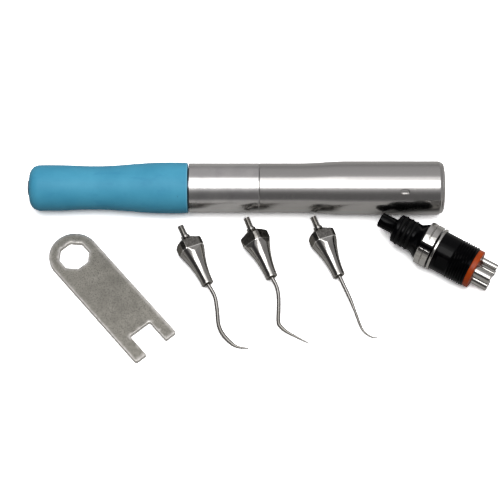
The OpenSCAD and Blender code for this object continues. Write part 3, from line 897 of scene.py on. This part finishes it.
NOSE_R = 4.2
SPIGOT_R = 2.2
CORE_R = 4.0
CORE_END = 26.0
CLIP_START = 24.7
CLIP_END = 25.3
WATER_BORE_R = 0.8
FLARE_R = 5.4
RING_R = 6.4
TAIL_R = 5.8
HOSE_THREAD_R = 6.0
HOSE_PITCH = 0.75
HOSE_THREAD_START = 23.7
TAIL_START = 18.1
TAIL_BODY_START = 18.8
TAIL_END = 29.3
GASKET_END = 30.9
TUBES_END = 35.8
SPLIT_START = 13.9
SPLIT_END = 17.6
TUBE_START = 27.0
GASKET_R = 5.65
RING_STATIONS = (6.9, 8.5, 10.1)
RING_GROOVE_HALF = 0.48
RING_GROOVE_DEPTH = 0.72
FLAT_START = TAIL_BODY_START + 1.1
FLAT_LEN = 3.4
FLAT_DEPTH = 0.35
FLAT_TURNS = (math.radians(60), math.radians(240))
HOSE_GROOVE = 0.35


def coupler_front():
    grooves = []
    for at in RING_STATIONS:
        grooves += [
            (NOSE_R, at - RING_GROOVE_HALF, 0.08),
            (NOSE_R - RING_GROOVE_DEPTH, at - RING_GROOVE_HALF + 0.02),
            (NOSE_R - RING_GROOVE_DEPTH, at + RING_GROOVE_HALF - 0.02),
            (NOSE_R, at + RING_GROOVE_HALF, 0.08),
        ]
    profile = softened([
        (WATER_BORE_R, 0.0, 0.1),
        (SPIGOT_R, 0.0, 0.3),
        (SPIGOT_R, 2.0),
        *rows(lambda t: ease(SPIGOT_R, NOSE_R, t), 4.3, 5.5, 10),
        *grooves,
        *rows(lambda t: ease(NOSE_R, FLARE_R, t), 11.2, SPLIT_START, 14),
        (FLARE_R, SPLIT_END),
        (CORE_R, SPLIT_END),
        (CORE_R, CLIP_START),
        (CORE_R - 0.5, CLIP_START),
        (CORE_R - 0.5, CLIP_END),
        (CORE_R, CLIP_END),
        (CORE_R, CORE_END, 0.2),
        (WATER_BORE_R, CORE_END, 0.1),
    ])
    surface = turned(profile, None, even(112))
    show("coupler_front", surface, coupler, "coupler_nose", "black_anodised", "coupler_nose")


def nose_seals():
    wire = 0.45
    inner = NOSE_R - 0.7
    for number, at in enumerate(RING_STATIONS, 1):
        around = [math.tau * k / 20 for k in range(20)]
        profile = [(inner + wire - wire * math.cos(a), at - wire * math.sin(a)) for a in around]
        profile.reverse()
        surface = turned(profile, None, even(112))
        show(f"nose_seal_{number}", surface, coupler, "coupler_nose", "black_rubber", f"nose_ring_{number}")


def swept_section(section, angles, shrink):
    """Section turned through part of a circle, shrunk towards its middle near both ends."""
    middle = sum((Vector(p) for p in section), Vector((0, 0))) / len(section)
    points, count = [], len(section)
    for a, s in zip(angles, shrink):
        for p in section:
            spot = Vector(p)
            pull = middle - spot
            pull = pull.normalized() * min(s, pull.length * 0.4)
            r, station = spot + pull
            points.append((r * math.cos(a), r * math.sin(a), station))
    faces = [tuple(range(count)), tuple(reversed(range(len(points) - count, len(points))))]
    for i in range(len(angles) - 1):
        for k in range(count):
            n = (k + 1) % count
            a, b = i * count, (i + 1) * count
            faces.append((a + k, b + k, b + n, a + n))
    return points, [tuple(reversed(f)) for f in faces]


def split_ring():
    """Wide chrome ring with a turned line round it and a gap that opens over its black core."""
    middle = (SPLIT_START + SPLIT_END) / 2
    section = softened([
        (FLARE_R, SPLIT_START),
        (RING_R, SPLIT_START, 0.45),
        (RING_R, middle - 0.22, 0.06),
        (RING_R - 0.22, middle - 0.04),
        (RING_R - 0.22, middle + 0.04),
        (RING_R, middle + 0.22, 0.06),
        (RING_R, SPLIT_END, 0.15),
        (FLARE_R, SPLIT_END),
    ])
    half = 0.95 / RING_R
    gap = math.radians(180 + 35)
    steps = 140
    low, high = gap + half, gap + math.tau - half
    soft = [0.0, 0.008, 0.02]
    shrink = [0.12, 0.035, 0.0]
    inner = [low + 0.03 + (high - low - 0.06) * k / steps for k in range(steps + 1)]
    angles = [low + s for s in soft] + inner + [high - s for s in reversed(soft)]
    sizes = shrink + [0.0] * len(inner) + list(reversed(shrink))
    surface = swept_section(section, angles, sizes)
    show("chrome_split_ring", surface, coupler, "coupler_nose", "bright_chrome", "split_ring")


def tail_band():
    profile = softened([
        (TAIL_R - 0.25, TAIL_START),
        (RING_R, TAIL_START, 0.16),
        (RING_R, TAIL_BODY_START, 0.16),
        (TAIL_R - 0.25, TAIL_BODY_START),
    ])
    surface = turned(profile, None, even(144))
    show("chrome_tail_band", surface, coupler, "coupler_tail", "bright_chrome", "tail_band")


def tail_shape(angle, radius, station):
    """Spanner flats, and the hose thread cut as a helix."""
    if radius < 5.0:
        return radius
    if HOSE_THREAD_START - 0.3 < station < TAIL_END - 0.2:
        wave = 0.5 + 0.5 * math.cos(math.tau * station / HOSE_PITCH - angle)
        fade = smooth_step(HOSE_THREAD_START - 0.3, HOSE_THREAD_START + 0.3, station)
        fade *= 1 - smooth_step(TAIL_END - 0.5, TAIL_END - 0.2, station)
        return radius + (HOSE_THREAD_R - HOSE_GROOVE - radius) * fade + HOSE_GROOVE * fade * wave
    if FLAT_START < station < FLAT_START + FLAT_LEN:
        for turn in FLAT_TURNS:
            facing = math.cos(angle - turn)
            if facing > 0.9:
                return min(radius, (TAIL_R - FLAT_DEPTH) / facing)
    return radius


def coupler_rear():
    profile = softened([
        (CORE_R + 0.06, TAIL_START),
        (TAIL_R - 0.25, TAIL_START),
        (TAIL_R - 0.25, TAIL_BODY_START),
        (TAIL_R, TAIL_BODY_START, 0.1),
        (TAIL_R, FLAT_START - 0.02),
        (TAIL_R, FLAT_START + 0.02),
        (TAIL_R, FLAT_START + FLAT_LEN / 2),
        (TAIL_R, FLAT_START + FLAT_LEN - 0.02),
        (TAIL_R, FLAT_START + FLAT_LEN + 0.02),
        *rows(TAIL_R, 23.4, TAIL_END - 0.15, 70),
        (TAIL_R - 0.15, TAIL_END),
        (0.0, TAIL_END),
        (0.0, CORE_END + 0.5),
        (CORE_R + 1, CORE_END + 0.5),
        (CORE_R + 1, CLIP_START - 0.4),
        (CORE_R + 0.06, CLIP_START - 0.4),
    ])
    outer = profile[:-5]
    inner = profile[-4:]
    rings = turned_rings(outer, tail_shape, even(144))
    rings += [[(0.0, 0.0, TAIL_END)]]
    back = turned_rings([*inner, profile[0]], None, even(144))
    points, faces = skin(rings)
    more_points, more_faces = skin(back)
    offset = len(points)
    points += more_points
    faces += [tuple(i + offset for i in f) for f in more_faces]
    show("coupler_rear", (points, faces), coupler, "coupler_tail", "black_anodised", "coupler_tail")


# Each tube's place across the hose end, and its outer radius.
TUBES = {
    "exhaust_tube": (2.3, -1.6, 1.6),
    "drive_tube": (-2.3, -1.6, 1.6),
    "water_pipe": (1.9, 2.6, 1.0),
    "chip_air_pipe": (-1.9, 2.6, 1.0),
}


def gasket():
    holes = [circle(x, y, r - 0.2, 40, clockwise=True) for x, y, r in TUBES.values()]
    surface, _ = plate(circle(0, 0, GASKET_R, 128), holes, GASKET_END - TAIL_END, 0.25, 0.8)
    place = coupler @ Matrix.Translation((0, 0, TAIL_END * MM))
    show("gasket_ring", surface, place, "coupler_tail", "orange_gasket", "hose_gasket")


def tubes():
    for node, (x, y, r) in TUBES.items():
        bore = r - 0.4
        profile = softened([
            (bore, TUBE_START),
            (r - 0.2, TUBE_START),
            (r - 0.2, GASKET_END + 0.1),
            (r, GASKET_END + 0.1, 0.05),
            (r, TUBES_END, 0.16),
            (bore, TUBES_END, 0.14),
        ])
        place = coupler @ Matrix.Translation((x * MM, y * MM, 0))
        surface = turned(profile, None, even(72))
        show(f"chrome_{node}", surface, place, "coupler_tail", "tube_chrome", node)


# Hooks as [distance past the body's small end, sideways distance], in mm.
BROAD_HOOK = [
    (-1, 0), (0, 0), (4, 0.3), (8, -0.7), (12, -2.1), (15, -2.3), (18, -1.5), (20.4, -0.1), (22.1, 2.6),
]
SICKLE_HOOK = [
    (-1, 0), (0, 0), (3, 0.2), (6, -0.4), (9.5, -1.8), (13, -3.3), (14.6, -3.2), (17, -1.9), (22, 2.3),
]
SLIM_HOOK = [(-1, 0), (0, 0), (4, 0.15), (8, 0.2), (12.5, 0), (16, -0.2), (18, 0.1), (20, 1.3), (21, 3)]

grip()
front_barrel()
rear_barrel()
tip("broad_tip", 1, 79.5, BROAD_HOOK, 0.65, 0.6)
tip("sickle_tip", 2, 44, SICKLE_HOOK, 0.72, 0.55)
tip("slim_tip", 3, 82, SLIM_HOOK, 0.45, 0.38)
wrench()
coupler_front()
nose_seals()
split_ring()
tail_band()
coupler_rear()
gasket()
tubes()

# The inner pieces stay as the CAD has them, each with the look of its material slot.
for part in record["subparts"]:
    inner_piece = frame["nodes"][part["node"]]
    if not inner_piece.hide_render:
        inner_piece.data.materials.clear()
        inner_piece.data.materials.append(looks[part["material_slot"]])


# ---------- table, light and camera ----------


def floor():
    """A pale table top, brighter to the eye than to the things it lights from below."""
    mesh = bpy.data.meshes.new("table_top")
    side = 4.0
    corners = [(-side, -side, 0), (side, -side, 0), (side, side, 0), (-side, side, 0)]
    mesh.from_pydata(corners, [], [(0, 1, 2, 3)])
    made = bpy.data.objects.new("table_top", mesh)
    bpy.context.collection.objects.link(made)
    look = bpy.data.materials.new("pale_table")
    look.use_nodes = True
    nodes, links = look.node_tree.nodes, look.node_tree.links
    path = nodes.new("ShaderNodeLightPath")
    white = nodes.new("ShaderNodeMix")
    white.data_type = "RGBA"
    links.new(path.outputs["Is Diffuse Ray"], white.inputs[0])
    white.inputs[6].default_value = (0.56, 0.555, 0.54, 1)
    white.inputs[7].default_value = (0.16, 0.16, 0.157, 1)
    bright = nodes.new("ShaderNodeMix")
    bright.data_type = "RGBA"
    links.new(path.outputs["Is Camera Ray"], bright.inputs[0])
    links.new(white.outputs[2], bright.inputs[6])
    bright.inputs[7].default_value = (2.3, 2.3, 2.3, 1)
    paint = nodes.new("ShaderNodeBsdfDiffuse")
    links.new(bright.outputs[2], paint.inputs["Color"])
    links.new(paint.outputs["BSDF"], nodes["Material Output"].inputs["Surface"])
    mesh.materials.append(look)


# Brightness of the studio: from the front horizon over the top to the back, and from left to right.
SKY_MIDDLE = [
    (0.0, 0.50), (0.03, 0.19), (0.18, 0.19), (0.24, 0.31), (0.29, 0.62),
    (0.34, 0.9), (0.60, 0.66), (0.86, 0.60), (1.0, 0.38),
]
SKY_SIDES = [(0.0, 0.07), (0.35, 0.07), (0.65, 0.45), (1.0, 0.45)]


def ramp(nodes, stops):
    """Greys at stops along a line, each a place and a brightness."""
    made = nodes.new("ShaderNodeValToRGB")
    while len(made.color_ramp.elements) < len(stops):
        made.color_ramp.elements.new(0.5)
    for element, (at, level) in zip(made.color_ramp.elements, stops):
        element.position = at
        element.color = (level, level * 0.985, level, 1)
    return made


def sky():
    """A dim studio: dark in front and on the left, grey behind and on the right."""
    world = bpy.data.worlds.new("studio")
    bpy.context.scene.world = world
    world.use_nodes = True
    nodes, links = world.node_tree.nodes, world.node_tree.links

    def maths(operation, *values):
        made = nodes.new("ShaderNodeMath")
        made.operation = operation
        for i, value in enumerate(values):
            if isinstance(value, bpy.types.NodeSocket):
                links.new(value, made.inputs[i])
            else:
                made.inputs[i].default_value = value
        return made.outputs[0]

    def mixed(share, first, second):
        made = nodes.new("ShaderNodeMix")
        made.data_type = "RGBA"
        links.new(share, made.inputs[0])
        links.new(first, made.inputs[6])
        if isinstance(second, bpy.types.NodeSocket):
            links.new(second, made.inputs[7])
        else:
            made.inputs[7].default_value = (*second, 1)
        return made.outputs[2]

    def smooth(value, start, end, first=0.0, last=1.0):
        made = nodes.new("ShaderNodeMapRange")
        made.interpolation_type = "SMOOTHSTEP"
        links.new(value, made.inputs["Value"])
        for socket, level in (("From Min", start), ("From Max", end), ("To Min", first), ("To Max", last)):
            made.inputs[socket].default_value = level
        return made.outputs["Result"]

    parts = nodes.new("ShaderNodeSeparateXYZ")
    links.new(nodes.new("ShaderNodeTexCoord").outputs["Generated"], parts.inputs[0])
    over = maths("ARCTAN2", parts.outputs["Z"], maths("MULTIPLY", parts.outputs["Y"], -1.0))
    middle = ramp(nodes, SKY_MIDDLE)
    links.new(maths("DIVIDE", over, math.pi), middle.inputs[0])
    sides = ramp(nodes, SKY_SIDES)
    links.new(maths("MULTIPLY_ADD", parts.outputs["X"], 0.5, 0.5), sides.inputs[0])
    low = smooth(parts.outputs["Z"], 0.14, 0.26, 1.0, 0.0)
    walls = mixed(low, sides.outputs[0], (0.42, 0.41, 0.40))
    aside = smooth(maths("ABSOLUTE", parts.outputs["X"]), 0.28, 0.5)
    room = mixed(aside, middle.outputs[0], walls)
    seen = nodes.new("ShaderNodeLightPath").outputs["Is Camera Ray"]
    links.new(mixed(seen, room, (0.93, 0.93, 0.93)), nodes["Background"].inputs["Color"])


def soft_box(name, x_span, y_span, radiance):
    """Level soft box over the table, from edge to edge."""
    height = 0.9
    data = bpy.data.lights.new(name, "AREA")
    data.shape = "RECTANGLE"
    data.size = x_span[1] - x_span[0]
    data.size_y = y_span[1] - y_span[0]
    data.energy = radiance * math.pi * data.size * data.size_y
    made = bpy.data.objects.new(name, data)
    made.location = (sum(x_span) / 2, sum(y_span) / 2, height)
    bpy.context.collection.objects.link(made)


def camera():
    """Looks down on the table from the front."""
    elevation = math.radians(62.4)
    distance = 0.5
    target = Vector((-3.0, 5.9, 0)) * MM
    data = bpy.data.cameras.new("camera")
    data.sensor_width = 36
    data.lens = 125
    made = bpy.data.objects.new("camera", data)
    made.location = target + distance * Vector((0, -math.cos(elevation), math.sin(elevation)))
    made.rotation_euler = (target - made.location).to_track_quat("-Z", "Y").to_euler()
    bpy.context.collection.objects.link(made)
    bpy.context.scene.camera = made


floor()
sky()
soft_box("overhead", (-0.35, 0.35), (-0.452, 0.023), 4.5)
soft_box("back_left", (-0.35, 0.08), (0.023, 0.312), 1.75)
soft_box("back_right", (0.08, 0.35), (0.023, 0.312), 0.9)
camera()
bpy.context.scene.view_settings.view_transform = "Standard"
